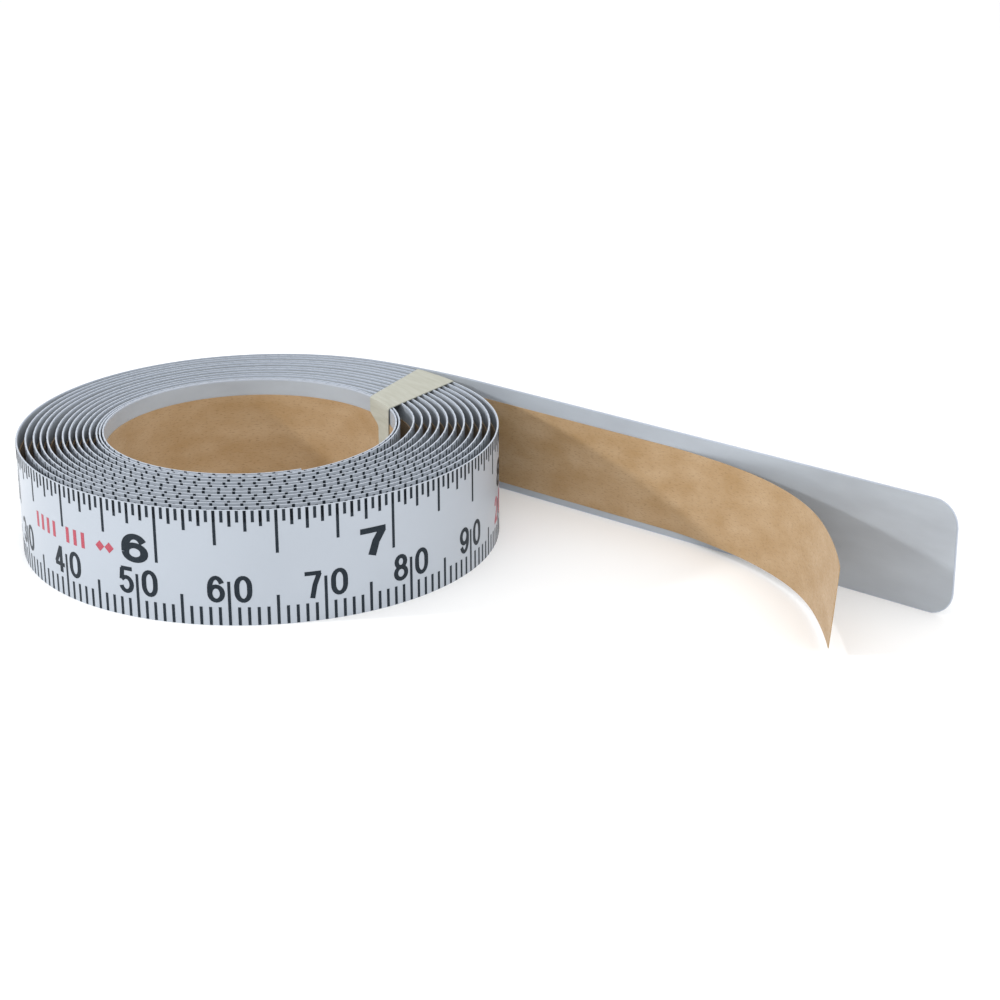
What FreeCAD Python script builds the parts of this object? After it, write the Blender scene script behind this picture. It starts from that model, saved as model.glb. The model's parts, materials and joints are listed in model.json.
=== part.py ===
import FreeCAD, Part
import math
import os
import Sketcher

# Self-adhesive steel tape, wound flat into a coil that stands on its edge.
# The strip's printed face looks outwards. Its tail leaves the back of the coil,
# and the paper liner has come away from the last stretch of the tail.
# Frame: +Z up, z = 0 is the surface the edges rest on, X along the tail's reach.

doc = FreeCAD.newDocument("bench_tape")

# ---------------------------------------------------------------- driving dimensions
dimensions = {
    "coilX": -23.4,           # coil's axis in the part's frame
    "coilY": 5.725,
    "stripWidth": 12.7,       # half-inch strip
    "coilRadius": 26.85,      # outside of the outermost turn where the tail leaves
    "leaveAngle": 62.0,       # direction, from the coil's axis, of that place
    "filmThick": 0.04,        # printed face under its clear film
    "bladeThick": 0.11,       # steel
    "adhesiveThick": 0.05,
    "linerThick": 0.08,       # kraft release paper
    "layerGap": 0.016,        # room kept between neighbouring layers
    "adhesiveEdge": 0.4,      # adhesive stops this short of both edges
    "linerBottom": 0.84,
    "linerHeight": 9.96,
    "seamGap": 0.12,          # room at each line where the strip flexes
    "packTurns": 11.7167,     # turns wound before the loose inner ones
    "boreRadius": 16.1,       # inside of the innermost turn
    "boreShift": -1.0,        # the loose inner turns sit this far along X from the axis
    "innerPitch": 0.36,
    "turnStepAngle": 60.0,    # each outer turn is round, then steps in over this last part
    "stepInAngle": 25.0,      # the loose turns step in over this last part
    "crescentAngle": 17.0,    # middle of the wider gap outside the loose turns
    "crescentHalf": 45.0,
    "crescentDepth": 0.4,
    "leftGapAngle": 185.0,    # the outer turns stand off here
    "leftGapHalf": 65.0,
    "leftGapOne": 0.26,       # after one turn, two and five
    "leftGapTwo": 0.17,
    "leftGapFive": 0.2,
    "innerEndAngle": 45.0,    # free inner end, past its flex line
    "innerTurnAngle": 290.0,  # innermost turn, before that flex line
    "leadRadius": 68.0,       # gentle bend where the tail leaves the coil
    "leadAngle": 12.0,
    "tailLength": 30.0,       # straight stretch with its liner still on
    "tipLength": 34.3,        # bare stretch
    "cornerRadius": 2.8,      # rounded corners of the free end
    "peelStart": 28.6,        # along the tail, where the liner comes away
    "peelKink": 3.0,          # degrees, the liner's turn at that line
    "rootRadius": 61.5,       # the loose liner's four curls, and how far each turns
    "rootSweep": 8.9,
    "bendRadius": 36.1,
    "bendSweep": 13.7,
    "curlRadius": 28.9,
    "curlSweep": 18.9,
    "endRadius": 62.5,
    "endSweep": 11.0,
    "tabThick": 0.13,         # masking tape that holds the turns
    "tabGap": 0.03,
    "tabInnerStart": 18.0,    # degrees round the bore's axis
    "tabInnerEnd": 36.0,
    "tabOuterStart": 35.4,    # degrees round the coil's axis
    "tabOuterEnd": 49.4,
    "tabOuterRadius": 26.34,
    "tabInnerDrop": 9.0,      # how far the tape runs down inside
    "tabOuterDrop": 6.5,      # how far it runs down outside
}

sheet = doc.addObject("Spreadsheet::Sheet", "dims")
for row, (alias, size) in enumerate(dimensions.items(), start=1):
    sheet.set("A%d" % row, alias)
    sheet.set("B%d" % row, str(size))
    sheet.setAlias("B%d" % row, alias)
doc.recompute()


def dim(alias):
    return float(sheet.get(alias))


nodes = []
bottom = 0.0
axisAt = FreeCAD.Vector(dim("coilX"), dim("coilY"), bottom)
boreAt = axisAt + FreeCAD.Vector(dim("boreShift"), 0, 0)

# Layers from the outside in: name, thickness, distance of the top and bottom edges from the floor.
layers = [
    ("face_film", "filmThick", bottom, dim("stripWidth")),
    ("steel_blade", "bladeThick", bottom, dim("stripWidth")),
    ("adhesive", "adhesiveThick", dim("adhesiveEdge"), dim("stripWidth") - dim("adhesiveEdge")),
    ("liner", "linerThick", dim("linerBottom"), dim("linerBottom") + dim("linerHeight")),
]


def layerDepth(name):
    """Distance of a layer's outer face below the strip's printed surface."""
    depth = 0.0
    for layer, thickness, low, high in layers:
        if layer == name:
            return depth
        depth += dim(thickness) + dim("layerGap")


stripThick = layerDepth("liner") + dim("linerThick")


def compass(angle):
    """Unit vector in plan at an angle in degrees from +X."""
    return FreeCAD.Vector(math.cos(math.radians(angle)), math.sin(math.radians(angle)), 0)


# ---------------------------------------------------------------- the wound coil
arcStep = 30              # degrees that one arc of the outer turns spans
looseArcStep = 120
outerOfLoose = dim("boreRadius") + stripThick + dim("innerPitch")
leftGaps = {1: dim("leftGapOne"), 2: dim("leftGapTwo"), 5: dim("leftGapFive")}


def hump(angle, middle, half):
    """Smooth bump of height 1 about a direction, and 0 past its half width."""
    away = abs((angle - middle + 180) % 360 - 180)
    if away >= half:
        return 0.0
    return math.cos(math.pi / 2 * away / half) ** 2


def looseCircle(angle):
    """Distance from the coil's axis to the round of loose inner turns."""
    shift = dim("boreShift")
    across = shift * math.sin(math.radians(angle))
    return shift * math.cos(math.radians(angle)) + math.sqrt(outerOfLoose ** 2 - across ** 2)


def stepIn(angle, turnEnd):
    """Share of a step made by a direction, 0 before the last part of a turn and 1 at its end."""
    return min(max(1 - (turnEnd - angle) / dim("stepInAngle"), 0), 1)


packEnd = dim("leaveAngle") + 360 * dim("packTurns")


def stepsTaken(turns):
    """Whole turns behind a place, and the share of the next step in that the strip has made."""
    whole = math.floor(turns)
    share = max(1 - (1 + whole - turns) * 360 / dim("turnStepAngle"), 0)
    return whole + (1 - math.cos(math.pi * share)) / 2


def outerRadius(angle):
    """Distance from the coil's axis to the strip's printed surface in the outer turns."""
    turns = (angle - dim("leaveAngle")) / 360
    standOff = hump(angle, dim("leftGapAngle"), dim("leftGapHalf"))
    wholeGap = standOff * sum(leftGaps.values())
    gapSoFar = standOff * sum(gap for turn, gap in leftGaps.items() if turns >= turn)
    crescent = dim("crescentDepth") * hump(angle, dim("crescentAngle"), dim("crescentHalf"))
    inside = looseCircle(angle) + crescent
    wound = dim("coilRadius") - inside - wholeGap - dim("innerPitch")
    radius = dim("coilRadius") - wound * stepsTaken(turns) / math.floor(dim("packTurns")) - gapSoFar
    return radius - dim("innerPitch") * stepIn(angle, packEnd)


def looseRadius(angle):
    """Distance from the bore's axis to the strip's printed surface in the loose turns."""
    return outerOfLoose - dim("innerPitch") * stepIn(angle, packEnd + 360)


def coilPoint(angle, depth):
    if angle < packEnd:
        return axisAt + compass(angle) * (outerRadius(angle) - depth)
    return boreAt + compass(angle) * (looseRadius(angle) - depth)


def coilStops(start, end):
    """Directions where one arc of the coil meets the next."""
    stepIns = [packEnd, packEnd + 360]
    stops = [start]
    place = dim("leaveAngle") + arcStep
    while place < packEnd - dim("stepInAngle") - arcStep / 4:
        stops.append(place)
        place += arcStep
    for turnEnd in stepIns:
        stops += [turnEnd - dim("stepInAngle"), turnEnd, turnEnd + looseArcStep, turnEnd + 2 * looseArcStep]
    return stops + [end]


def coilArcs(depth, stops):
    """Arcs along the coil at some depth below the printed surface, and their two end points."""
    arcs = []
    for first, last in zip(stops, stops[1:]):
        ends = [coilPoint(stop, depth) for stop in (first, (first + last) / 2, last)]
        arcs.append(Part.Arc(*ends).toShape())
    return arcs, coilPoint(stops[0], depth), coilPoint(stops[-1], depth)


def seamAngle(radius):
    """Half of a flex line's room, as an angle at some radius."""
    return math.degrees(dim("seamGap") / 2 / radius)


innerTurnEnd = packEnd + 360 + dim("innerTurnAngle")
coilStart = dim("leaveAngle") + seamAngle(dim("coilRadius"))
coilEnd = innerTurnEnd - seamAngle(dim("boreRadius"))
stops = coilStops(coilStart, coilEnd)

for layer, thickness, low, high in layers:
    depth = layerDepth(layer)
    outer, outerFirst, outerLast = coilArcs(depth, stops)
    inner, innerFirst, innerLast = coilArcs(depth + dim(thickness), stops)
    innerClosing = Part.makeLine(outerLast, innerLast)
    outerClosing = Part.makeLine(innerFirst, outerFirst)
    outline = Part.Wire(outer + [innerClosing] + inner[::-1] + [outerClosing])
    section = Part.Face(outline)
    wound = section.extrude(FreeCAD.Vector(0, 0, high - low))
    coilLayer = doc.addObject("Part::Feature", "coil_" + layer)
    coilLayer.Shape = wound
    coilLayer.Placement = FreeCAD.Placement(FreeCAD.Vector(0, 0, low), FreeCAD.Rotation())
    coilLayer.Label = "coil_" + layer
    nodes.append(coilLayer)


# ---------------------------------------------------------------- curved stretches
def heightExpressions(layer):
    """Bottom and height of a layer, as sheet expressions."""
    if layer == "liner":
        return "dims.linerBottom", "dims.linerHeight"
    if layer == "adhesive":
        return "dims.adhesiveEdge", "dims.stripWidth - 2 * dims.adhesiveEdge"
    return "0", "dims.stripWidth"


def ringSector(label, outsideRadius, thickness, low, height, centre, startAngle, sweep):
    """Part of a thin upright ring. Sizes are sheet expressions; the place and angles are numbers."""
    outer = doc.addObject("Part::Cylinder", label + "_outside")
    outer.setExpression("Radius", outsideRadius)
    outer.setExpression("Height", height)
    outer.Angle = sweep
    inner = doc.addObject("Part::Cylinder", label + "_inside")
    inner.setExpression("Radius", "(%s) - (%s)" % (outsideRadius, thickness))
    inner.setExpression("Height", height)
    turn = FreeCAD.Rotation(FreeCAD.Vector(0, 0, 1), startAngle)
    for cylinder in (outer, inner):
        cylinder.Placement = FreeCAD.Placement(centre, turn)
        cylinder.setExpression("Placement.Base.z", low)
    ring = doc.addObject("Part::Cut", label)
    ring.Base = outer
    ring.Tool = inner
    ring.Label = label
    nodes.append(ring)
    return ring


def depthExpression(layer):
    """A layer's depth as a sheet expression: every layer outside it, with its gap."""
    names = [name for name, thickness, low, high in layers]
    outside = layers[:names.index(layer)]
    terms = ["dims.%s + dims.layerGap" % thickness for name, thickness, low, high in outside]
    return "(%s)" % " + ".join(["0"] + terms)


# Free inner end: the last part of the innermost turn.
innerSeam = seamAngle(dim("boreRadius"))
for layer, thickness, low, high in layers:
    lowAt, height = heightExpressions(layer)
    radius = "dims.boreRadius + %.3f - %s" % (stripThick, depthExpression(layer))
    ringSector("inner_" + layer, radius, "dims." + thickness, lowAt, height, boreAt,
               (innerTurnEnd + innerSeam) % 360, dim("innerEndAngle"))

# Lead: the gentle bend by which the strip leaves the coil.
leaveNormal = compass(dim("leaveAngle"))
leadCentre = axisAt + leaveNormal * (dim("coilRadius") - dim("leadRadius"))
leadSeam = seamAngle(dim("leadRadius"))
tailNormalAngle = dim("leaveAngle") - dim("leadAngle")
for layer, thickness, low, high in layers:
    lowAt, height = heightExpressions(layer)
    radius = "dims.leadRadius - %s" % depthExpression(layer)
    ringSector("lead_" + layer, radius, "dims." + thickness, lowAt, height, leadCentre,
               tailNormalAngle + leadSeam, dim("leadAngle") - 2 * leadSeam)

# ---------------------------------------------------------------- straight tail
tailNormal = compass(tailNormalAngle)
tailHeading = compass(tailNormalAngle - 90)
tailAt = leadCentre + tailNormal * dim("leadRadius")
tailTurn = FreeCAD.Rotation(FreeCAD.Vector(0, 0, 1), tailNormalAngle - 90)
halfSeam = dim("seamGap") / 2

for layer, thickness, low, high in layers:
    lowAt, height = heightExpressions(layer)
    innerFace = tailAt - tailNormal * (layerDepth(layer) + dim(thickness))
    strip = doc.addObject("Part::Box", "tail_" + layer)
    if layer == "liner":
        strip.setExpression("Length", "dims.peelStart - dims.seamGap")
    else:
        strip.setExpression("Length", "dims.tailLength - dims.seamGap")
    strip.setExpression("Width", "dims." + thickness)
    strip.setExpression("Height", height)
    strip.Placement = FreeCAD.Placement(innerFace + tailHeading * halfSeam, tailTurn)
    strip.setExpression("Placement.Base.z", lowAt)
    strip.Label = "tail_" + layer
    nodes.append(strip)


def planeOf(body, role):
    for feature in body.Origin.OriginFeatures:
        if feature.Role == role:
            return feature


def tipPlate(label, layer, thickness):
    """Bare end of the strip: a thin plate with two rounded corners at its free end."""
    lowAt, height = heightExpressions(layer)
    body = doc.addObject("PartDesign::Body", label)
    sketch = body.newObject("Sketcher::SketchObject", label + "_outline")
    sketch.AttachmentSupport = [(planeOf(body, "XZ_Plane"), "")]
    sketch.MapMode = "FlatFace"
    long, tall, corner = 30.0, 12.0, 2.0
    at = FreeCAD.Vector
    upright = at(0, 0, 1)
    lines = [
        Part.LineSegment(at(0, 0, 0), at(long - corner, 0, 0)),
        Part.ArcOfCircle(Part.Circle(at(long - corner, corner, 0), upright, corner), -math.pi / 2, 0),
        Part.LineSegment(at(long, corner, 0), at(long, tall - corner, 0)),
        Part.ArcOfCircle(Part.Circle(at(long - corner, tall - corner, 0), upright, corner), 0, math.pi / 2),
        Part.LineSegment(at(long - corner, tall, 0), at(0, tall, 0)),
        Part.LineSegment(at(0, tall, 0), at(0, 0, 0)),
    ]
    sketch.addGeometry(lines, False)
    foot, lowCorner, end, highCorner, head, seam = range(len(lines))
    joints = [
        ("Coincident", seam, 2, foot, 1),
        ("Coincident", head, 2, seam, 1),
        ("Coincident", foot, 1, -1, 1),
        ("Tangent", foot, 2, lowCorner, 1),
        ("Tangent", lowCorner, 2, end, 1),
        ("Tangent", end, 2, highCorner, 1),
        ("Tangent", highCorner, 2, head, 1),
        ("Horizontal", foot),
        ("Horizontal", head),
        ("Vertical", seam),
        ("Vertical", end),
        ("Equal", lowCorner, highCorner),
    ]
    for joint in joints:
        sketch.addConstraint(Sketcher.Constraint(*joint))
    sizes = {
        "cornerRadius": (("Radius", lowCorner, corner), "dims.cornerRadius - " + lowAt),
        "tall": (("DistanceY", seam, 2, seam, 1, tall), height),
        "long": (("DistanceX", seam, 2, end, 1, long), "dims.tipLength - dims.seamGap / 2 - " + lowAt),
    }
    for name, (constraint, expression) in sizes.items():
        index = sketch.addConstraint(Sketcher.Constraint(*constraint))
        sketch.renameConstraint(index, name)
        sketch.setExpression("Constraints." + name, expression)
    doc.recompute()
    pad = body.newObject("PartDesign::Pad", label + "_pad")
    pad.Profile = sketch
    pad.setExpression("Length", "dims." + thickness)
    pad.Reversed = True
    innerFace = tailAt - tailNormal * (layerDepth(layer) + dim(thickness))
    tipStart = tailHeading * (dim("tailLength") + halfSeam)
    body.Placement = FreeCAD.Placement(innerFace + tipStart, tailTurn)
    body.setExpression("Placement.Base.z", lowAt)
    body.Label = label
    nodes.append(body)


for layer, thickness, low, high in layers[:3]:
    tipPlate("tip_" + layer, layer, thickness)

# ---------------------------------------------------------------- peeled liner
peelNormalAngle = tailNormalAngle - dim("peelKink")
linerFace = tailAt - tailNormal * layerDepth("liner")
peelAt = linerFace + tailHeading * dim("peelStart")
for stretch in ("root", "bend", "curl", "end"):
    radius = dim(stretch + "Radius")
    sweep = dim(stretch + "Sweep")
    centre = peelAt - compass(peelNormalAngle) * radius
    peelSeam = seamAngle(radius)
    ringSector("liner_peel_" + stretch, "dims.%sRadius" % stretch, "dims.linerThick",
               "dims.linerBottom", "dims.linerHeight", centre,
               peelNormalAngle - sweep + peelSeam, sweep - 2 * peelSeam)
    print("liner_peel_" + stretch, "starts", [round(value, 4) for value in peelAt])
    peelNormalAngle -= sweep
    peelAt = centre + compass(peelNormalAngle) * radius

# ---------------------------------------------------------------- masking-tape tab
tabRing = dim("tabInnerEnd") - dim("tabInnerStart")
ringSector("tab_inner_end", "dims.boreRadius - dims.tabGap", "dims.tabThick",
           "dims.stripWidth - dims.tabInnerDrop", "dims.tabInnerDrop", boreAt,
           dim("tabInnerStart"), tabRing)
ringSector("tab_outer_end", "dims.tabOuterRadius + dims.tabThick", "dims.tabThick",
           "dims.stripWidth - dims.tabOuterDrop", "dims.tabOuterDrop", axisAt,
           dim("tabOuterStart"), dim("tabOuterEnd") - dim("tabOuterStart"))


def tabTop():
    """The tape's flat run across the top edges, a four-sided plate over the coil's wall."""
    body = doc.addObject("PartDesign::Body", "tab_top")
    sketch = body.newObject("Sketcher::SketchObject", "tab_top_outline")
    sketch.AttachmentSupport = [(planeOf(body, "XY_Plane"), "")]
    sketch.MapMode = "FlatFace"
    inner = "(dims.boreRadius - dims.tabGap - dims.tabThick)"
    outer = "(dims.tabOuterRadius + dims.tabThick)"
    corners = [
        (inner, "dims.tabInnerStart", "dims.boreShift"),
        (outer, "dims.tabOuterStart", "0"),
        (outer, "dims.tabOuterEnd", "0"),
        (inner, "dims.tabInnerEnd", "dims.boreShift"),
    ]
    firstGuess = [(14, 5), (21, 15), (17, 20), (12, 9)]
    for index, start in enumerate(firstGuess):
        end = firstGuess[(index + 1) % len(firstGuess)]
        sketch.addGeometry(Part.LineSegment(FreeCAD.Vector(*start, 0), FreeCAD.Vector(*end, 0)), False)
    for index in range(len(corners)):
        following = (index + 1) % len(corners)
        sketch.addConstraint(Sketcher.Constraint("Coincident", index, 2, following, 1))
    for index, (radius, angle, shift) in enumerate(corners):
        places = {
            "across%d" % index: ("DistanceX", firstGuess[index][0], "cos", shift),
            "along%d" % index: ("DistanceY", firstGuess[index][1], "sin", "0"),
        }
        for name, (kind, guess, trig, offset) in places.items():
            made = sketch.addConstraint(Sketcher.Constraint(kind, -1, 1, index, 1, guess))
            sketch.renameConstraint(made, name)
            sketch.setExpression("Constraints." + name, "%s * %s(%s) + %s" % (radius, trig, angle, offset))
    doc.recompute()
    pad = body.newObject("PartDesign::Pad", "tab_top_pad")
    pad.Profile = sketch
    pad.setExpression("Length", "dims.tabThick")
    body.Placement = FreeCAD.Placement(axisAt, FreeCAD.Rotation())
    body.setExpression("Placement.Base.z", "dims.stripWidth + dims.tabGap")
    body.Label = "tab_top"
    nodes.append(body)


tabTop()

# ---------------------------------------------------------------- check and write
doc.recompute()
for item in doc.Objects:
    if "Invalid" in item.State or "Error" in item.State:
        raise RuntimeError("%s failed: %s" % (item.Label, item.State))

os.makedirs("parts", exist_ok=True)
for node in nodes:
    shape = node.Shape
    if shape.isNull() or not shape.isValid() or len(shape.Solids) != 1:
        raise RuntimeError("%s has no valid solid" % node.Label)
    shape.exportStep(os.path.join("parts", node.Label + ".step"))
    box = shape.BoundBox
    print("%-18s %9.2f mm3  x %.2f..%.2f  y %.2f..%.2f  z %.2f..%.2f" % (
        node.Label, shape.Volume, box.XMin, box.XMax, box.YMin, box.YMax, box.ZMin, box.ZMax))
print(len(nodes), "nodes; strip", round(stripThick, 3), "mm thick; tail starts",
      [round(value, 4) for value in tailAt])
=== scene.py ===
import json
import math

import bpy
from mathutils import Matrix, Vector


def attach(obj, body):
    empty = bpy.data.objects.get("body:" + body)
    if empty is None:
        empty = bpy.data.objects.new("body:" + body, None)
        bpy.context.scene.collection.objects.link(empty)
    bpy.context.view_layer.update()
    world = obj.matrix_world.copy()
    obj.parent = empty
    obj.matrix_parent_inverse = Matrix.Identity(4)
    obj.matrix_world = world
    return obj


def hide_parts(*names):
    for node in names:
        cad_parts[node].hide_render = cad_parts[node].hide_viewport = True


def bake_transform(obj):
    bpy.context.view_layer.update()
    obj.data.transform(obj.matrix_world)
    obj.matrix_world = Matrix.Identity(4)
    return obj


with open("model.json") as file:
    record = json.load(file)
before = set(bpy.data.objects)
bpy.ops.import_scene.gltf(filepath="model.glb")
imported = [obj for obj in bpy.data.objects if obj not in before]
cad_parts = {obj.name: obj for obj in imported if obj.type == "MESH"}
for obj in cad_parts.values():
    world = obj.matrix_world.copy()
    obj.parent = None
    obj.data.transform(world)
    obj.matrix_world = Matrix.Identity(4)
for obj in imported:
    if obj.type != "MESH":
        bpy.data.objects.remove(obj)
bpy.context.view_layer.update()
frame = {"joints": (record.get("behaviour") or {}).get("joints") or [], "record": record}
scene = bpy.context.scene
mm = 0.001
print("frame loaded")

# Lengths are in millimetres until a mesh is finished. A place on the strip is its distance from
# the tail's free end, its depth below the printed face, and its height.
jointAt = {joint["name"]: Vector(joint["pos_m"]).xy / mm for joint in frame["joints"]}
bore = next(mount for mount in frame["record"]["mounts"] if mount["name"] == "bore")

strip = {
    "thick": 0.328,        # all four layers, as in the frame
    "width": 12.7,
    "tipRun": 34.3,        # bare end of the tail
    "leadRadius": 68.0,
    "scaleStart": 15.2,    # blank leader before the scale's zero
    "looseShift": -1.0,    # the loose inner turns sit off the coil's axis
    "packTurns": 11.7167,
    "innerPitch": 0.36,
    "innerTurn": 290.0,
    "innerEnd": 45.0,
    "turnStepAngle": 60.0,             # an outer turn is round, then steps in over this last part
    "stepInAngle": 25.0,               # a loose turn steps in over this last part
    "crescent": (17.0, 45.0, 0.4),     # middle, half width, depth of the wider gap at the right
    "standOff": (185.0, 65.0),         # middle, half width of the gaps at the left
    "standOffs": {1: 0.26, 2: 0.17, 5: 0.2},
    "endSeam": 15.0,       # the wound layers hand over to the free inner end this far before its hinge
}
uneven = {                 # the wound turns don't all stand quite level
    "high": 0.12, "startsAfter": 130.0, "easedOver": 60.0, "turn": 137.0,
}


def compass(angle):
    return Vector((math.cos(math.radians(angle)), math.sin(math.radians(angle))))


def angleOf(vector):
    return math.degrees(math.atan2(vector.y, vector.x))


boreAt = Vector(bore["pos_m"]).xy / mm
boreRadius = bore["dims"]["r_mm"]
axisAt = boreAt - Vector((strip["looseShift"], 0))
leaveAngle = angleOf(jointAt["lead_flex"] - axisAt)
coilRadius = (jointAt["lead_flex"] - axisAt).length + strip["thick"] / 2
tailHeading = (jointAt["tip_flex"] - jointAt["tail_flex"]).normalized()
tailNormal = Vector((-tailHeading.y, tailHeading.x))
tailRun = (jointAt["tip_flex"] - jointAt["tail_flex"]).length + strip["tipRun"]
tailFoot = jointAt["tail_flex"] + tailNormal * strip["thick"] / 2
leadCentre = axisAt + compass(leaveAngle) * (coilRadius - strip["leadRadius"])
leadRun = strip["leadRadius"] * math.radians(leaveAngle - angleOf(tailNormal))
coilFrom = tailRun + leadRun
packEnd = leaveAngle + 360 * strip["packTurns"]
innerTurnEnd = packEnd + 360 + strip["innerTurn"]
stripEnd = innerTurnEnd + strip["innerEnd"]
outerOfLoose = boreRadius + strip["thick"] + strip["innerPitch"]


def hump(angle, middle, half):
    away = abs((angle - middle + 180) % 360 - 180)
    return math.cos(math.pi / 2 * away / half) ** 2 if away < half else 0.0


def stepIn(angle, turnEnd):
    return min(max(1 - (turnEnd - angle) / strip["stepInAngle"], 0), 1)


def coilPlace(angle, depth):
    if angle >= packEnd:               # angles count on from where the tail leaves the coil
        steppedIn = strip["innerPitch"] * stepIn(angle, packEnd + 360)
        return boreAt + compass(angle) * (outerOfLoose - steppedIn - depth)
    turns = (angle - leaveAngle) / 360
    whole = math.floor(turns)
    share = max(1 - (1 + whole - turns) * 360 / strip["turnStepAngle"], 0)
    steps = whole + (1 - math.cos(math.pi * share)) / 2
    shift = strip["looseShift"]
    across = shift * math.sin(math.radians(angle))
    loose = shift * math.cos(math.radians(angle)) + math.sqrt(outerOfLoose ** 2 - across ** 2)
    middle, half, deep = strip["crescent"]
    inside = loose + deep * hump(angle, middle, half) + strip["innerPitch"]
    gaps = strip["standOffs"]
    away = hump(angle, *strip["standOff"])
    gapSoFar = away * sum(gap for turn, gap in gaps.items() if turns >= turn)
    wound = coilRadius - inside - away * sum(gaps.values())
    radius = coilRadius - wound * steps / math.floor(strip["packTurns"]) - gapSoFar
    return axisAt + compass(angle) * (radius - strip["innerPitch"] * stepIn(angle, packEnd) - depth)


coilTable = [(coilFrom, leaveAngle)]          # distance against angle, along the printed face
angleStep = 2.5
while coilTable[-1][1] < stripEnd:
    distance, angle = coilTable[-1]
    following = min(angle + angleStep, stripEnd)
    chord = (coilPlace(following, 0) - coilPlace(angle, 0)).length
    coilTable.append((distance + chord, following))
print("strip is", round(coilTable[-1][0]), "mm long")


def coilAngle(distance):
    low, high = 0, len(coilTable) - 1
    while high - low > 1:
        middle = (low + high) // 2
        low, high = (middle, high) if coilTable[middle][0] <= distance else (low, middle)
    (fromDistance, fromAngle), (toDistance, toAngle) = coilTable[low], coilTable[high]
    return fromAngle + (toAngle - fromAngle) * (distance - fromDistance) / (toDistance - fromDistance)


def coilDistance(angle):
    index = min(int((angle - leaveAngle) / angleStep), len(coilTable) - 2)
    (fromDistance, fromAngle), (toDistance, toAngle) = coilTable[index], coilTable[index + 1]
    return fromDistance + (toDistance - fromDistance) * (angle - fromAngle) / (toAngle - fromAngle)


def stripPlace(distance, depth):
    if distance <= tailRun:
        return tailFoot + tailHeading * (tailRun - distance) - tailNormal * depth
    if distance < coilFrom:
        turned = math.degrees((distance - tailRun) / strip["leadRadius"])
        return leadCentre + compass(angleOf(tailNormal) + turned) * (strip["leadRadius"] - depth)
    return coilPlace(coilAngle(distance), depth)


def stripLift(distance):
    past = distance - coilFrom - uneven["startsAfter"]          # the outermost turn stands level
    ease = min(max(past / uneven["easedOver"], 0), 1)
    turn = distance / uneven["turn"]
    waver = 0.5 + 0.26 * math.sin(2.3 * turn + 0.6) + 0.24 * math.sin(6.9 * turn + 2.1)
    return uneven["high"] * ease * waver


peel = {
    "from": 35.7, "kink": 3.0,
    "arcs": [(61.5, 8.9), (36.1, 13.7), (28.9, 18.9), (62.5, 11.0)],     # radius, turn
    "lean": 0.04, "leanFrom": 15.0, "level": 5.8,     # the loose paper leans outwards at its top
    "endCut": (0.5, 3.6),                              # the end is cut aslant, at the top and the bottom
    "inset": 0.08,                                     # of the paper's path from the strip's back
}
linerDepth = strip["thick"] - peel["inset"]
peelRuns = [radius * math.radians(turn) for radius, turn in peel["arcs"]]


def linerPlace(distance, depth, up=None):
    run = peel["from"] - distance
    if run <= 0:
        return stripPlace(distance, depth)
    normalAngle = angleOf(tailNormal) - peel["kink"]
    at = stripPlace(peel["from"], linerDepth)
    for radius, turn in peel["arcs"]:
        centre = at - compass(normalAngle) * radius
        if run <= radius * math.radians(turn):
            break
        run -= radius * math.radians(turn)
        normalAngle -= turn
        at = centre + compass(normalAngle) * radius
    if up is not None:
        ease = min((peel["from"] - distance) / peel["leanFrom"], 1)
        depth -= peel["lean"] * (up - peel["level"]) * ease * ease * (3 - 2 * ease)
    return centre + compass(normalAngle - math.degrees(run / radius)) * (radius - depth + linerDepth)


def newGroup(name, inputs, outputs):
    group = bpy.data.node_groups.new(name, "ShaderNodeTree")
    addSocket = group.interface.new_socket
    for socketName, kind, value in inputs:
        socket = addSocket(name=socketName, in_out="INPUT", socket_type="NodeSocket" + kind)
        if value is not None:
            socket.default_value = value
    for socketName, kind in outputs:
        addSocket(name=socketName, in_out="OUTPUT", socket_type="NodeSocket" + kind)
    return group, group.nodes.new("NodeGroupInput"), group.nodes.new("NodeGroupOutput")


def addNode(tree, kind, links=None, **settings):
    node = tree.nodes.new("ShaderNode" + kind)
    for name, value in settings.items():
        setattr(node, name, value)
    for key, value in (links or {}).items():
        if isinstance(value, bpy.types.NodeSocket):
            tree.links.new(value, node.inputs[key])
        else:
            node.inputs[key].default_value = value
    return node


def calc(tree, operation, first, second=0.0, third=0.0):
    return addNode(tree, "Math", {0: first, 1: second, 2: third}, operation=operation).outputs[0]


def spread(tree, value, low, high, toLow=0.0, toHigh=1.0):
    links = {"Value": value, "From Min": low, "From Max": high, "To Min": toLow, "To Max": toHigh}
    return addNode(tree, "MapRange", links).outputs[0]


def makeGrainGroup():
    group, start, end = newGroup(
        "grain",
        [("Vector", "Vector", None), ("Mottle", "Float", 400.0), ("Fibre", "Float", 6000.0)],
        [("Mottling", "Float"), ("Fibres", "Float"), ("Height", "Float")],
    )
    broad = addNode(group, "TexNoise", {"Vector": start.outputs[0], "Scale": start.outputs[1], "Detail": 5.0})
    fine = addNode(group, "TexNoise", {"Vector": start.outputs[0], "Scale": start.outputs[2], "Detail": 3.0})
    group.links.new(spread(group, broad.outputs[0], 0.3, 0.7), end.inputs[0])
    group.links.new(spread(group, fine.outputs[0], 0.35, 0.65), end.inputs[1])
    both = calc(group, "MULTIPLY_ADD", broad.outputs[0], 0.4, fine.outputs[0])
    group.links.new(both, end.inputs[2])
    return group


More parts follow.
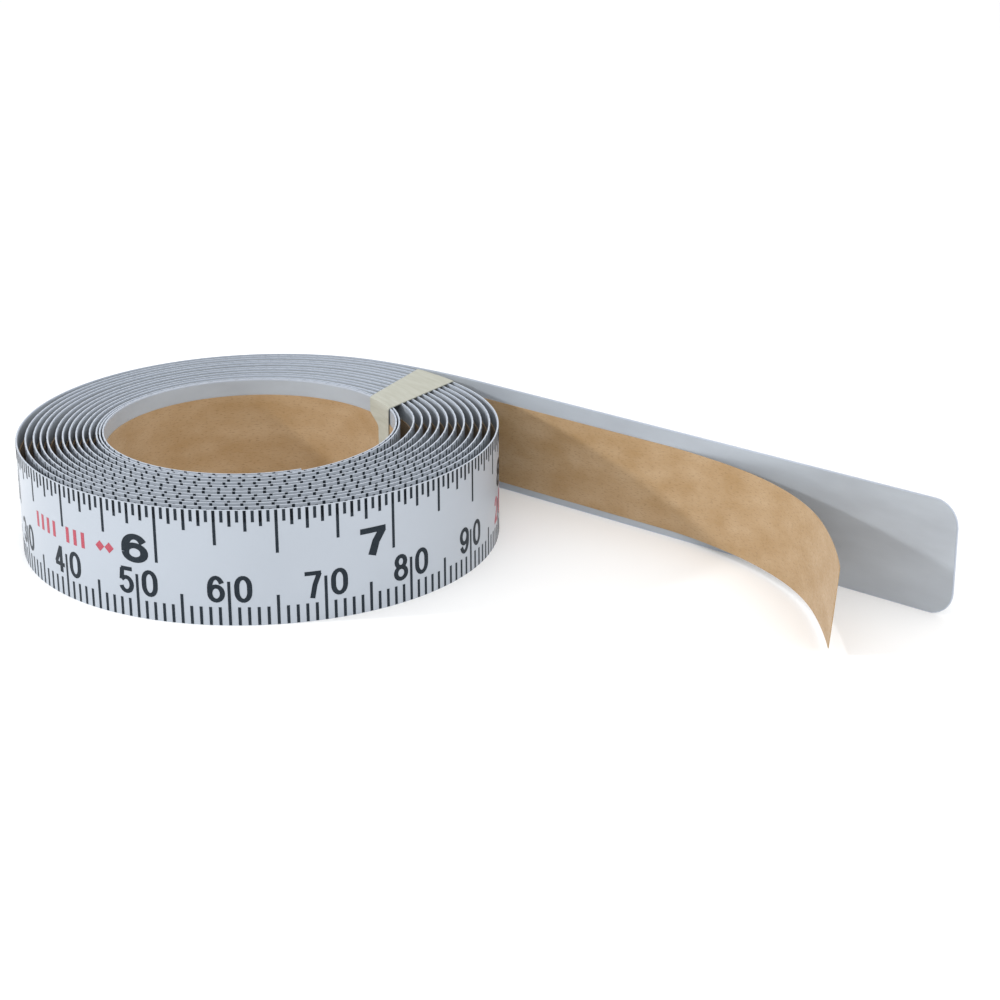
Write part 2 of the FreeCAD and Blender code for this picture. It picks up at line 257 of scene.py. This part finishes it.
def makeScaleGroup():
    inputs = [("Along", "Float", 0.0), ("Up", "Float", 0.0)]
    group, start, end = newGroup("scaleMarks", inputs, [("Mask", "Float")])
    along = calc(group, "MULTIPLY", start.outputs[0], mapScale)
    up = calc(group, "MULTIPLY", start.outputs[1], mapScale)
    down = calc(group, "SUBTRACT", strip["width"], up)
    total = None
    for height, marks in ((up, printing["mmMarks"]), (down, printing["inchMarks"])):
        for spacing, _, reach in marks:
            shifted = calc(group, "ADD", calc(group, "DIVIDE", along, spacing), 0.5)
            centred = calc(group, "SUBTRACT", calc(group, "FRACT", shifted), 0.5)
            offCentre = calc(group, "ABSOLUTE", centred)
            onMark = calc(group, "LESS_THAN", offCentre, printing["markWide"] / 2 / spacing)
            reached = calc(group, "LESS_THAN", height, reach)
            startAt = printing["shortFade"] if spacing == inch / 32 else -1.0
            begun = calc(group, "GREATER_THAN", height, startAt)
            lit = calc(group, "MULTIPLY", onMark, calc(group, "MULTIPLY", reached, begun))
            total = lit if total is None else calc(group, "MAXIMUM", total, lit)
    group.links.new(total, end.inputs[0])
    return group


def newMaterial(name, surface):
    material = bpy.data.materials.new(name)
    material.use_nodes = True
    tree = material.node_tree
    shader = tree.nodes["Principled BSDF"]
    for socket, value in surface.items():
        shader.inputs[socket].default_value = value
    return material, tree, shader


def mixColour(tree, share, first, second):
    node = addNode(tree, "Mix", data_type="RGBA")
    for index, value in ((0, share), (6, first), (7, second)):
        if isinstance(value, bpy.types.NodeSocket):
            tree.links.new(value, node.inputs[index])
        else:
            node.inputs[index].default_value = value
    return node.outputs[2]


def bumpFrom(tree, shader, height, strength, distance):
    bump = addNode(tree, "Bump", {"Height": height, "Strength": strength, "Distance": distance})
    tree.links.new(bump.outputs[0], shader.inputs["Normal"])


inch = 25.4
mapScale = 100.0            # millimetres of strip to one unit of its map
printing = {
    "inkDeep": 0.018,       # clear film over the ink
    "inkSolid": 0.8,        # of that depth
    "edgeGap": 0.04,
    "markWide": 0.32,
    "figureSpace": 0.16,
    "afterLine": 0.12,      # the second figure stands a little further from the line
    "mmMarks": [(1.0, 0.0, 2.05), (5.0, 2.05, 3.3), (10.0, 3.3, 4.9)],     # spacing, from, to
    "shortFade": 0.3,       # the shortest marks stop this far from the edge on the inner turns
    "inchMarks": [(inch / 32, 0.0, 1.3), (inch / 16, 0.0, 1.75), (inch / 8, 1.75, 2.3),
                  (inch / 4, 2.3, 3.8), (inch / 2, 3.8, 4.75), (inch, 4.75, 6.2)],
    "mmFigures": {"tall": 3.0, "wide": 1.85, "pen": (0.54, 0.45), "base": 2.55, "gap": 0.42},
    "inchFigures": {"tall": 3.2, "wide": 3.2, "pen": (0.95, 0.62), "base": 6.15, "gap": 0.9},
}
colours = {
    "face": (0.405, 0.445, 0.50, 1),
    "faceDull": (0.39, 0.429, 0.483, 1),
    "ink": (0.011, 0.017, 0.024, 1),
    "red": (0.34, 0.065, 0.09, 1),
    "steel": (0.45, 0.50, 0.585, 1),
    "steelPale": (0.54, 0.59, 0.67, 1),
    "adhesive": (0.41, 0.45, 0.495, 1),
    "adhesiveDull": (0.355, 0.385, 0.425, 1),
    "kraft": (0.355, 0.222, 0.10, 1),
    "kraftDark": (0.23, 0.14, 0.063, 1),
    "kraftPale": (0.44, 0.305, 0.175, 1),
    "crepe": (0.46, 0.465, 0.41, 1),
    "crepeDark": (0.39, 0.39, 0.33, 1),
}
grainGroup = makeGrainGroup()
scaleGroup = makeScaleGroup()


def stripMap(tree, along=1.0, up=1.0):
    uv = addNode(tree, "UVMap", uv_map="strip")
    return addNode(tree, "Mapping", {"Vector": uv.outputs[0], "Scale": (along, up, 1)}).outputs[0]


def faceMaterial(name, withMarks):
    surface = {"Specular IOR Level": 0.35, "Coat Weight": 0.12, "Coat Roughness": 0.2}
    material, tree, shader = newMaterial(name, surface)
    grain = addNode(tree, "Group", {"Vector": stripMap(tree), "Mottle": 9.0, "Fibre": 130.0},
                    node_tree=grainGroup)
    colour = mixColour(tree, grain.outputs["Mottling"], colours["face"], colours["faceDull"])
    if withMarks:
        parts = addNode(tree, "SeparateXYZ", {0: stripMap(tree)})
        links = {"Along": parts.outputs[0], "Up": parts.outputs[1]}
        marks = addNode(tree, "Group", links, node_tree=scaleGroup)
        colour = mixColour(tree, marks.outputs[0], colour, colours["ink"])
    tree.links.new(colour, shader.inputs["Base Color"])
    tree.links.new(spread(tree, grain.outputs["Mottling"], 0, 1, 0.3, 0.36), shader.inputs["Roughness"])
    bumpFrom(tree, shader, grain.outputs["Fibres"], 0.04, 0.00002)
    return material


def inkMaterial(name, colour):
    material, tree, shader = newMaterial(name, {"Specular IOR Level": 0.12})
    where = addNode(tree, "TexCoord").outputs["Object"]
    grain = addNode(tree, "Group", {"Vector": where, "Mottle": 900.0, "Fibre": 9000.0},
                    node_tree=grainGroup)
    worn = tuple(channel * 1.3 + 0.006 for channel in colour[:3]) + (1,)
    tree.links.new(mixColour(tree, grain.outputs["Fibres"], colour, worn), shader.inputs["Base Color"])
    tree.links.new(spread(tree, grain.outputs["Mottling"], 0, 1, 0.3, 0.45), shader.inputs["Roughness"])
    return material


def steelMaterial():
    material, tree, shader = newMaterial("coated steel", {"Metallic": 0.2})
    grain = addNode(tree, "Group", {"Vector": stripMap(tree, 0.3, 6.0), "Mottle": 60.0, "Fibre": 420.0},
                    node_tree=grainGroup)
    colour = mixColour(tree, grain.outputs["Fibres"], colours["steel"], colours["steelPale"])
    tree.links.new(colour, shader.inputs["Base Color"])
    tree.links.new(spread(tree, grain.outputs["Mottling"], 0, 1, 0.34, 0.52), shader.inputs["Roughness"])
    bumpFrom(tree, shader, grain.outputs["Fibres"], 0.1, 0.00002)
    return material


def adhesiveMaterial():
    material, tree, shader = newMaterial("adhesive", {"Coat Weight": 0.15, "Coat Roughness": 0.25})
    grain = addNode(tree, "Group", {"Vector": stripMap(tree, 0.5, 1.6), "Mottle": 24.0, "Fibre": 260.0},
                    node_tree=grainGroup)
    colour = mixColour(tree, grain.outputs["Mottling"], colours["adhesive"], colours["adhesiveDull"])
    tree.links.new(colour, shader.inputs["Base Color"])
    tree.links.new(spread(tree, grain.outputs["Fibres"], 0, 1, 0.3, 0.5), shader.inputs["Roughness"])
    bumpFrom(tree, shader, grain.outputs["Height"], 0.12, 0.00003)
    return material


def kraftMaterial():
    material, tree, shader = newMaterial("kraft liner", {"Sheen Weight": 0.12, "Specular IOR Level": 0.35})
    grain = addNode(tree, "Group", {"Vector": stripMap(tree, 0.55, 1.0), "Mottle": 38.0, "Fibre": 330.0},
                    node_tree=grainGroup)
    colour = mixColour(tree, grain.outputs["Mottling"], colours["kraft"], colours["kraftPale"])
    speck = addNode(tree, "TexNoise", {"Vector": stripMap(tree, 0.3, 1.2), "Scale": 700.0, "Detail": 2.0})
    dark = spread(tree, speck.outputs[0], 0.56, 0.68)
    colour = mixColour(tree, calc(tree, "MULTIPLY", dark, 0.55), colour, colours["kraftDark"])
    tree.links.new(colour, shader.inputs["Base Color"])
    tree.links.new(spread(tree, grain.outputs["Fibres"], 0, 1, 0.5, 0.72), shader.inputs["Roughness"])
    bumpFrom(tree, shader, grain.outputs["Height"], 0.25, 0.00004)
    return material


def crepeMaterial():
    material, tree, shader = newMaterial("crepe tape", {"Specular IOR Level": 0.3})
    grain = addNode(tree, "Group", {"Vector": stripMap(tree, 5.0, 0.8), "Mottle": 30.0, "Fibre": 150.0},
                    node_tree=grainGroup)
    tree.links.new(mixColour(tree, grain.outputs["Mottling"], colours["crepe"], colours["crepeDark"]),
                   shader.inputs["Base Color"])
    tree.links.new(spread(tree, grain.outputs["Fibres"], 0, 1, 0.6, 0.85), shader.inputs["Roughness"])
    bumpFrom(tree, shader, grain.outputs["Height"], 0.5, 0.00008)
    return material


face = faceMaterial("printed face", False)
faceWithMarks = faceMaterial("printed face, inner turns", True)
ink = inkMaterial("ink", colours["ink"])
redInk = inkMaterial("red ink", colours["red"])
steel = steelMaterial()
adhesive = adhesiveMaterial()
kraft = kraftMaterial()
crepe = crepeMaterial()
print("finishes made")


def deselectAll():
    bpy.ops.object.select_all(action="DESELECT")


def applyModifier(obj, kind, **settings):
    bpy.context.view_layer.objects.active = obj
    modifier = obj.modifiers.new(kind.title(), kind)
    for name, value in settings.items():
        setattr(modifier, name, value)
    bpy.ops.object.modifier_apply(modifier=modifier.name)


def toMetres(obj):
    obj.data.transform(obj.matrix_world)
    for vertex in obj.data.vertices:
        vertex.co *= mm
    obj.matrix_world.identity()


def makeRibbon(name, material, place, fromDistance, toDistance, depth, thick, low, high,
               step=1.0, corner=0.0, cut=(0, 0)):
    deselectAll()
    columns = max(int(round((toDistance - fromDistance) / step)), 2)
    loose = place is linerPlace
    rows = 26 if corner else 6 if loose else 2
    bpy.ops.mesh.primitive_grid_add(x_subdivisions=columns, y_subdivisions=rows, size=1, location=(0, 0, 0))
    ribbon = bpy.context.active_object
    ribbon.name = name
    mesh = ribbon.data
    mesh.uv_layers[0].name = "strip"
    onStrip = []
    for vertex in mesh.vertices:
        distance = fromDistance + (vertex.co.x + 0.5) * (toDistance - fromDistance)
        share = vertex.co.y + 0.5
        if corner:                                  # rounded corners at the free end
            share = (1 - math.cos(math.pi * share)) / 2
            inset = max(corner - min(share, 1 - share) * (high - low), 0)
            cutBack = corner - math.sqrt(max(corner ** 2 - inset ** 2, 0))
            distance += cutBack * max(1 - distance / (2 * corner), 0)
        up = low + share * (high - low)
        distance += (cut[0] + (cut[1] - cut[0]) * (1 - share)) * (0.5 - vertex.co.x)
        onStrip.append((distance, up))
        at = place(distance, depth + thick / 2, up) if loose else place(distance, depth + thick / 2)
        vertex.co = (at.x, at.y, up + stripLift(distance))
    for loop, uv in zip(mesh.loops, mesh.uv_layers["strip"].data):
        distance, up = onStrip[loop.vertex_index]
        uv.uv = ((distance - strip["scaleStart"]) / mapScale, up / mapScale)
    applyModifier(ribbon, "SOLIDIFY", thickness=thick, offset=0, use_even_offset=True)
    toMetres(ribbon)
    mesh.materials.clear()
    mesh.materials.append(material)
    bpy.ops.object.shade_smooth_by_angle(angle=math.radians(35))
    return ribbon


gummedFrom = 0.12     # the adhesive stops this far from the strip's edges and end
layers = {       # depth, thickness, lower and upper edge, material, slot
    "face_film": (0.02, 0.035, 0.0, strip["width"], face, "printed_face"),
    "steel_blade": (0.056, 0.115, 0.0, strip["width"], steel, "spring_steel"),
    "adhesive": (0.172, 0.055, gummedFrom, strip["width"] - gummedFrom, adhesive, "adhesive"),
    "liner": (linerDepth - 0.018, 0.09, 0.84, 10.8, kraft, "kraft_liner"),
}


def layerRibbon(name, layer, fromDistance, toDistance, step=1.0, place=stripPlace,
                corner=0.0, material=None, cut=(0, 0)):
    depth, thick, low, high, finish, slotName = layers[layer]
    ribbon = makeRibbon(name, material or finish, place, fromDistance, toDistance,
                        depth, thick, low, high, step, corner, cut)
    return ribbon


def blendAlong(piece, place, fromDistance, toDistance):
    ends = [place(distance, strip["thick"] / 2) for distance in (fromDistance, toDistance)]
    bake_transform(piece)


# The wound part. The outermost turn's face and the innermost turn's liner are pieces of their own.
outerTurnEnd = coilDistance(leaveAngle + 360)
endSeam = coilDistance(innerTurnEnd - strip["endSeam"])
innerTurnStart = coilDistance(innerTurnEnd - 300)
for layer in layers:
    cuts = [coilFrom, endSeam]
    if layer == "face_film":
        cuts.insert(1, outerTurnEnd)
    if layer == "liner":
        cuts.insert(1, innerTurnStart)
    for index, (start, end) in enumerate(zip(cuts, cuts[1:])):
        inner = layer == "face_film" and index == 1
        name = "coil_%s_%d" % (layer, index + 1) if len(cuts) > 2 else "coil_" + layer + "_wound"
        wound = layerRibbon(name, layer, start, end, material=faceWithMarks if inner else None)
        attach(wound, "coil")
        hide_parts("coil_" + layer)
    freeEnd = layerRibbon("inner_end_" + layer, layer, endSeam, coilTable[-1][0],
                          material=faceWithMarks if layer == "face_film" else None)
    blendAlong(freeEnd, stripPlace, endSeam + 2, endSeam + 7)
    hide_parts("inner_" + layer)
print("coil wound")

# The tail, in three stretches that meet where a body is rigid.
midTail = tailRun - 15
midLead = coilFrom - leadRun / 2
tipFrom = strip["tipRun"]
stretches = [     # name, bodies, from, to, and where it bends. The tip's bend keeps clear of the liner.
    ("lead", "coil", "lead", midLead, coilFrom, (coilFrom, coilFrom - 6), "lead_"),
    ("bend", "lead", "tail", midTail, midLead, (tailRun + 5, tailRun - 5), "tail_"),
    ("end", "tail", "tip", 0.0, midTail, (tipFrom + 0.3, tipFrom - 13.7), "tip_"),
]
tipCorner = 2.8
for layer in layers:
    for name, bodyA, bodyB, start, end, (bendFrom, bendTo), prefix in stretches:
        if name == "end" and layer == "liner":
            continue
        corner = tipCorner if name == "end" else 0.0
        if corner and layer == "adhesive":
            corner, start = tipCorner - gummedFrom, gummedFrom
        step = 0.4 if corner else 0.7
        piece = layerRibbon("tail_%s_%s" % (name, layer), layer, start, end, step=step, corner=corner)
        blendAlong(piece, stripPlace, bendFrom, bendTo)
        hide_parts(prefix + layer)
print("tail made")

# The peeled liner, one piece across each of its flex lines.
peelEnds = [peel["from"] - sum(peelRuns[:count]) for count in range(5)]
peelMids = [midTail] + [(high + low) / 2 for high, low in zip(peelEnds, peelEnds[1:])]
peelMids[-1] = peelEnds[-1]
peelBodies = ["tail", "peel_root", "peel_bend", "peel_curl", "peel_end"]
for index, body in enumerate(peelBodies[1:]):
    high, low = peelMids[index], peelMids[index + 1]
    cut = peel["endCut"] if index == 3 else (0, 0)
    piece = layerRibbon("liner_" + body, "liner", low, high, step=0.5, place=linerPlace, cut=cut)
    reach = 0.6 if index == 0 else 3.0
    at = peelEnds[index]
    blendAlong(piece, linerPlace, at + reach, at - 3.0)
    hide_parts("liner_" + body)
print("liner peeled")


def bow(x, z, wide, tall, fromAngle, toAngle):      # part of an oval, in the box from (0, 0) to (1, 1)
    count = max(int(abs(toAngle - fromAngle) / 12), 2)
    turn = (toAngle - fromAngle) / count
    angles = [math.radians(fromAngle + turn * step) for step in range(count + 1)]
    return [(x + wide * math.cos(angle), z + tall * math.sin(angle)) for angle in angles]


sixStrokes = [
    bow(0.5, 0.31, 0.5, 0.31, 180, -180),
    [(0, 0.31), (0, 0.5)] + bow(0.51, 0.52, 0.51, 0.48, 175, 28),
]
digitStrokes = {          # the middle lines of each figure's strokes
    "0": [bow(0.5, 0.62, 0.5, 0.38, 0, 180) + bow(0.5, 0.38, 0.5, 0.38, 180, 360) + [(1, 0.62)]],
    "1": [[(0.7, -0.08), (0.7, 1.08)], [(0.7, 0.96), (0.52, 0.8), (0.05, 0.74)]],
    "2": [bow(0.5, 0.7, 0.47, 0.3, 172, -22) + [(0.8, 0.46), (0.4, 0.22), (0.08, 0.06), (0.04, 0)],
          [(-0.18, 0), (1.16, 0)]],
    "3": [bow(0.48, 0.755, 0.43, 0.245, 168, -90), bow(0.48, 0.255, 0.5, 0.255, 90, -168)],
    "4": [[(0.7, 1), (0, 0.3)], [(-0.1, 0.27), (1.18, 0.27)], [(0.74, 1.08), (0.74, -0.08)]],
    "5": [[(1.08, 1), (0.06, 1)], [(0.16, 1), (0.06, 0.5)],
          [(0.06, 0.5)] + bow(0.48, 0.31, 0.5, 0.31, 132, -164)],
    "6": sixStrokes,
    "7": [[(-0.18, 1), (1.14, 1)], [(1, 1), (0.62, 0.5), (0.4, -0.08)]],
    "8": [bow(0.5, 0.76, 0.42, 0.24, -90, 270), bow(0.5, 0.26, 0.5, 0.26, 90, 450)],
    "9": [[(1 - x, 1 - z) for x, z in stroke] for stroke in sixStrokes],
}


inkThick = printing["inkDeep"] * printing["inkSolid"]
oneNarrow = 0.66          # the figure 1 against the others
strokeStep = 0.22
sameWay = 0.8             # joints straighter than this are rounded


def makeStroke(line, style, narrow):
    thickX, thickZ = style["pen"]
    wide, tall = style["wide"] * narrow - thickX, style["tall"] - thickZ
    line = [Vector((thickX / 2 + x * wide, thickZ / 2 + z * tall)) for x, z in line]
    reached = [0.0]
    for first, following in zip(line, line[1:]):
        reached.append(reached[-1] + (following - first).length)
    deselectAll()
    columns = max(int(reached[-1] / strokeStep), 3)
    bpy.ops.mesh.primitive_grid_add(x_subdivisions=columns, y_subdivisions=1, size=1, location=(0, 0, 0))
    stroke = bpy.context.active_object
    for vertex in stroke.data.vertices:
        run = (vertex.co.x + 0.5) * reached[-1]
        index = max(index for index in range(len(line) - 1) if reached[index] <= run + 1e-9)
        share = (run - reached[index]) / max(reached[index + 1] - reached[index], 1e-9)
        ahead, behind = line[min(index + 2, len(line) - 1)], line[max(index - 1, 0)]
        here = (line[index + 1] - line[index]).normalized()
        before = (line[index] - behind).normalized() if index else here
        after = (ahead - line[index + 1]).normalized() if index + 2 < len(line) else here
        start = before if before.dot(here) > sameWay else here
        end = after if after.dot(here) > sameWay else here
        along = ((start + here) * (1 - share) + (here + end) * share).normalized()
        side = Vector((-along.y, along.x))
        side *= math.hypot(side.x * thickX, side.y * thickZ) * vertex.co.y
        at = line[index].lerp(line[index + 1], share) + side
        vertex.co = (at.x, inkThick / 2, at.y)
    applyModifier(stroke, "SOLIDIFY", thickness=inkThick, offset=0)
    return stroke


def makeFigure(character, style):
    narrow = oneNarrow if character == "1" else 1.0
    strokes = [makeStroke(line, style, narrow) for line in digitStrokes[character]]
    deselectAll()
    for stroke in strokes:
        stroke.select_set(True)
    bpy.context.view_layer.objects.active = strokes[0]
    if len(strokes) > 1:
        bpy.ops.object.join()
    figure = bpy.context.active_object
    bpy.ops.object.mode_set(mode="EDIT")
    bpy.ops.mesh.select_all(action="SELECT")
    bpy.ops.mesh.normals_make_consistent(inside=False)
    bpy.ops.object.mode_set(mode="OBJECT")
    return figure


approval = {              # plain red bars and lozenges where such a tape has small red lettering
    "from": 133.7, "pitch": 1.24, "low": 6.35, "tall": 1.75, "wide": 0.5, "lozenge": 0.85,
    "pattern": "|||| ||| <>",
}


def stampApproval(parts):
    for index, kind in enumerate(approval["pattern"]):
        if kind == " ":
            continue
        deselectAll()
        turned = math.radians(45) if kind in "<>" else 0.0
        size = approval["wide"] if kind == "|" else approval["lozenge"]
        tall = approval["tall"] if kind == "|" else size
        along = approval["from"] + approval["pitch"] * (index + 0.5)
        middle = (along, inkThick / 2, approval["low"] + approval["tall"] / 2)
        bpy.ops.mesh.primitive_cube_add(size=1, location=middle, rotation=(0, turned, 0),
                                        scale=(size, inkThick, tall))
        bpy.ops.object.transform_apply(location=True, rotation=True, scale=True)
        parts.append(bpy.context.active_object)


figureKinds = {"mm": printing["mmFigures"], "inch": printing["inchFigures"]}
figures = {
    (kind, digit): makeFigure(digit, style)
    for kind, style in figureKinds.items() for digit in "0123456789"
}
figureWide = {key: max(vertex.co.x for vertex in figure.data.vertices) for key, figure in figures.items()}


def stampFigure(key, x, z, parts):
    copy = figures[key].copy()
    copy.data = figures[key].data.copy()
    copy.data.transform(Matrix.Translation((x, 0, z)))
    scene.collection.objects.link(copy)
    parts.append(copy)


def stampText(kind, text, x, z, parts, anchor):
    space = printing["figureSpace"]
    total = sum(figureWide[kind, digit] for digit in text) + space * (len(text) - 1)
    at = x - total if anchor == "right" else x
    for digit in text:
        stampFigure((kind, digit), at, z, parts)
        at += figureWide[kind, digit] + space


def stampMarks(first, last, spacing, low, high, parts):
    firstMark, lastMark = math.ceil((first - 1e-6) / spacing), math.floor((last - 1e-6) / spacing)
    count = lastMark - firstMark + 1
    if count < 1:
        return
    deselectAll()
    middle = (firstMark * spacing, inkThick / 2, (low + high) / 2)
    bpy.ops.mesh.primitive_cube_add(size=1, location=middle,
                                    scale=(printing["markWide"], inkThick, high - low))
    marks = bpy.context.active_object
    bpy.ops.object.transform_apply(location=True, rotation=True, scale=True)
    applyModifier(marks, "ARRAY", count=count, use_relative_offset=False, use_constant_offset=True,
                  constant_offset_displace=(spacing, 0, 0))
    parts.append(marks)


def joinAndWrap(name, parts, material):
    deselectAll()
    for part in parts:
        part.select_set(True)
    bpy.context.view_layer.objects.active = parts[0]
    bpy.ops.object.join()
    printed = bpy.context.active_object
    printed.name = name
    for vertex in printed.data.vertices:
        distance = vertex.co.x + strip["scaleStart"]
        at = stripPlace(distance, printing["inkDeep"] - vertex.co.y)
        vertex.co = (at.x, at.y, vertex.co.z + stripLift(distance))
    toMetres(printed)
    printed.data.materials.clear()
    printed.data.materials.append(material)
    return printed


def printStretch(name, fromDistance, toDistance):
    first, last = max(fromDistance - strip["scaleStart"], 0.001), toDistance - strip["scaleStart"]
    dark, red = [], []
    for spacing, low, high in printing["mmMarks"]:
        low = low or printing["edgeGap"]
        stampMarks(first, last, spacing, low, high, dark)
    for spacing, low, high in printing["inchMarks"]:
        low = low or printing["edgeGap"]
        stampMarks(first, last, spacing, strip["width"] - high, strip["width"] - low, dark)
    style = printing["mmFigures"]
    for ten in range(int(math.ceil(first / 10)), int(last / 10) + 1):
        if ten == 0:
            continue
        whole = ten % 10 == 0
        text = str(ten * 10) if whole else str(ten * 10 % 100)
        parts = red if whole else dark
        stampText("mm", text[:1], ten * 10 - style["gap"], style["base"], parts, "right")
        after = ten * 10 + style["gap"] + printing["afterLine"]
        stampText("mm", text[1:], after, style["base"], parts, "left")
    style = printing["inchFigures"]
    for count in range(int(math.ceil(first / inch)), int(last / inch) + 1):
        if count:
            before = count * inch - style["gap"]
            stampText("inch", str(count), before, style["base"], dark, "right")
    if first < approval["from"] < last:
        stampApproval(red)
    pieces = []
    if dark:
        pieces.append(joinAndWrap("print_" + name, dark, ink))
    if red:
        pieces.append(joinAndWrap("red_print_" + name, red, redInk))
    return pieces


for printed in printStretch("outer_turn", coilFrom, outerTurnEnd):
    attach(printed, "coil")
for name, bodyA, bodyB, start, end, (bendFrom, bendTo), prefix in stretches:
    for printed in printStretch("tail_" + name, start, end):
        blendAlong(printed, stripPlace, bendFrom, bendTo)
for figure in figures.values():
    bpy.data.objects.remove(figure)
print("scale printed")

tab = {
    "innerFrom": 18.0, "innerTo": 36.0,      # degrees round the bore
    "outerFrom": 35.4, "outerTo": 49.4,      # degrees round the coil
    "outerRadius": 26.36, "thick": 0.11,
    "wide": 5.2, "top": 12.79, "innerLow": 3.7, "outerLow": 6.2, "fold": 0.22,
    "boreGap": 0.09,                         # the flap's middle stands this far inside the opening
    "flapTo": 29.5,                          # the flap narrows to here below the fold
    "narrowsFrom": 0.5, "narrowsOver": 0.12,     # share of the half's length
}


def makeTabHalf(name, rows, columns, innerSide):
    deselectAll()
    bpy.ops.mesh.primitive_grid_add(x_subdivisions=columns, y_subdivisions=rows, size=1, location=(0, 0, 0))
    half = bpy.context.active_object
    half.name = name
    half.data.uv_layers[0].name = "strip"
    onTape = []
    for vertex in half.data.vertices:
        share, run = vertex.co.y + 0.5, vertex.co.x + 0.5
        innerTo = tab["innerTo"]
        if innerSide:
            narrowed = min(max((run - tab["narrowsFrom"]) / tab["narrowsOver"], 0), 1)
            innerTo -= (innerTo - tab["flapTo"]) * narrowed * narrowed * (3 - 2 * narrowed)
        innerAngle = tab["innerFrom"] + (innerTo - tab["innerFrom"]) * share
        outerAngle = tab["outerFrom"] + (tab["outerTo"] - tab["outerFrom"]) * share
        inner = boreAt + compass(innerAngle) * (boreRadius - tab["boreGap"])
        outer = axisAt + compass(outerAngle) * (tab["outerRadius"] + tab["thick"] / 2)
        middle = (inner + outer) / 2
        edge = inner if innerSide else outer
        low = tab["innerLow"] if innerSide else tab["outerLow"]
        flat = (edge - middle).length - tab["fold"]
        hang = tab["top"] - low - tab["fold"]
        curve = tab["fold"] * math.pi / 2
        along = run * (flat + curve + hang)
        outwards = (edge - middle).normalized()
        if along < flat:
            at, up = middle + outwards * along, tab["top"]
        elif along < flat + curve:
            turned = (along - flat) / tab["fold"]
            at = middle + outwards * (flat + tab["fold"] * math.sin(turned))
            up = tab["top"] - tab["fold"] * (1 - math.cos(turned))
        else:
            at, up = edge, tab["top"] - tab["fold"] - (along - flat - curve)
        onTape.append((along if innerSide else -along, share * tab["wide"]))
        vertex.co = (at.x, at.y, up)
    for loop, uv in zip(half.data.loops, half.data.uv_layers["strip"].data):
        along, across = onTape[loop.vertex_index]
        uv.uv = (along / mapScale, across / mapScale)
    applyModifier(half, "SOLIDIFY", thickness=tab["thick"], offset=0, use_even_offset=True)
    toMetres(half)
    half.data.materials.clear()
    half.data.materials.append(crepe)
    bpy.ops.object.shade_smooth_by_angle(angle=math.radians(35))
    middleIn = boreAt + compass((tab["innerFrom"] + tab["innerTo"]) / 2) * boreRadius
    middleOut = axisAt + compass((tab["outerFrom"] + tab["outerTo"]) / 2) * tab["outerRadius"]
    return half, middleIn, middleOut


outerHalf, tabIn, tabOut = makeTabHalf("tab_outer_half", 8, 60, False)
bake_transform(outerHalf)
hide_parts("tab_outer_end", "tab_top")
innerHalf, tabIn, tabOut = makeTabHalf("tab_inner_half", 8, 60, True)
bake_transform(innerHalf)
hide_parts("tab_inner_end")
print("tab stuck down")

studio = {
    "floorWide": 1.6, "floorPale": 0.96,
    "cameraAt": (26.943, -237.247, 93.943),     # mm, from the coil's axis on the floor
    "tilt": 20.866, "roll": -0.204, "lens": 80.5, "sensor": 36.0,
    "keyAt": (-397, -70, 183), "keyAim": (0, 0, 5), "keySize": 0.028, "keyPower": 0.78,
    "fillAt": (135, -280, 290), "fillAim": (0, 0, 5), "fillSize": 0.34, "fillPower": 0.56,
    "world": 1.0,
}


def makeFloor():
    deselectAll()
    bpy.ops.mesh.primitive_grid_add(x_subdivisions=8, y_subdivisions=8, size=studio["floorWide"],
                                    location=(0, 0, 0))
    floor = bpy.context.active_object
    floor.name = "floor"
    floor.data.transform(floor.matrix_world)
    floor.matrix_world.identity()
    paint = (studio["floorPale"],) * 3 + (1,)
    floor.data.materials.append(newMaterial("floor", {"Roughness": 0.9, "Base Color": paint})[0])


def makeLight(name, at, aim, size, power):
    data = bpy.data.lights.new(name, "AREA")
    data.size = size
    data.energy = power
    light = bpy.data.objects.new(name, data)
    scene.collection.objects.link(light)
    light.location = Vector(at) * mm
    light.rotation_mode = "QUATERNION"
    light.rotation_quaternion = (Vector(aim) * mm - light.location).to_track_quat("-Z", "Y")


makeFloor()
makeLight("key", studio["keyAt"], studio["keyAim"], studio["keySize"], studio["keyPower"])
makeLight("fill", studio["fillAt"], studio["fillAim"], studio["fillSize"], studio["fillPower"])
scene.view_settings.view_transform = "Standard"
scene.world = bpy.data.worlds.new("studio")
scene.world.use_nodes = True
background = scene.world.node_tree.nodes["Background"]
background.inputs[0].default_value = (1, 1, 1, 1)
background.inputs[1].default_value = studio["world"]

camera = bpy.data.objects.new("camera", bpy.data.cameras.new("camera"))
scene.collection.objects.link(camera)
scene.camera = camera
camera.data.lens = studio["lens"]
camera.data.sensor_width = studio["sensor"]
camera.data.clip_start = 0.01
camera.location = (Vector(studio["cameraAt"]) + Vector((axisAt.x, axisAt.y, 0))) * mm
lookDown = Matrix.Rotation(math.radians(90 - studio["tilt"]), 3, "X")
camera.rotation_euler = (lookDown @ Matrix.Rotation(math.radians(studio["roll"]), 3, "Z")).to_euler()
print("studio lit")
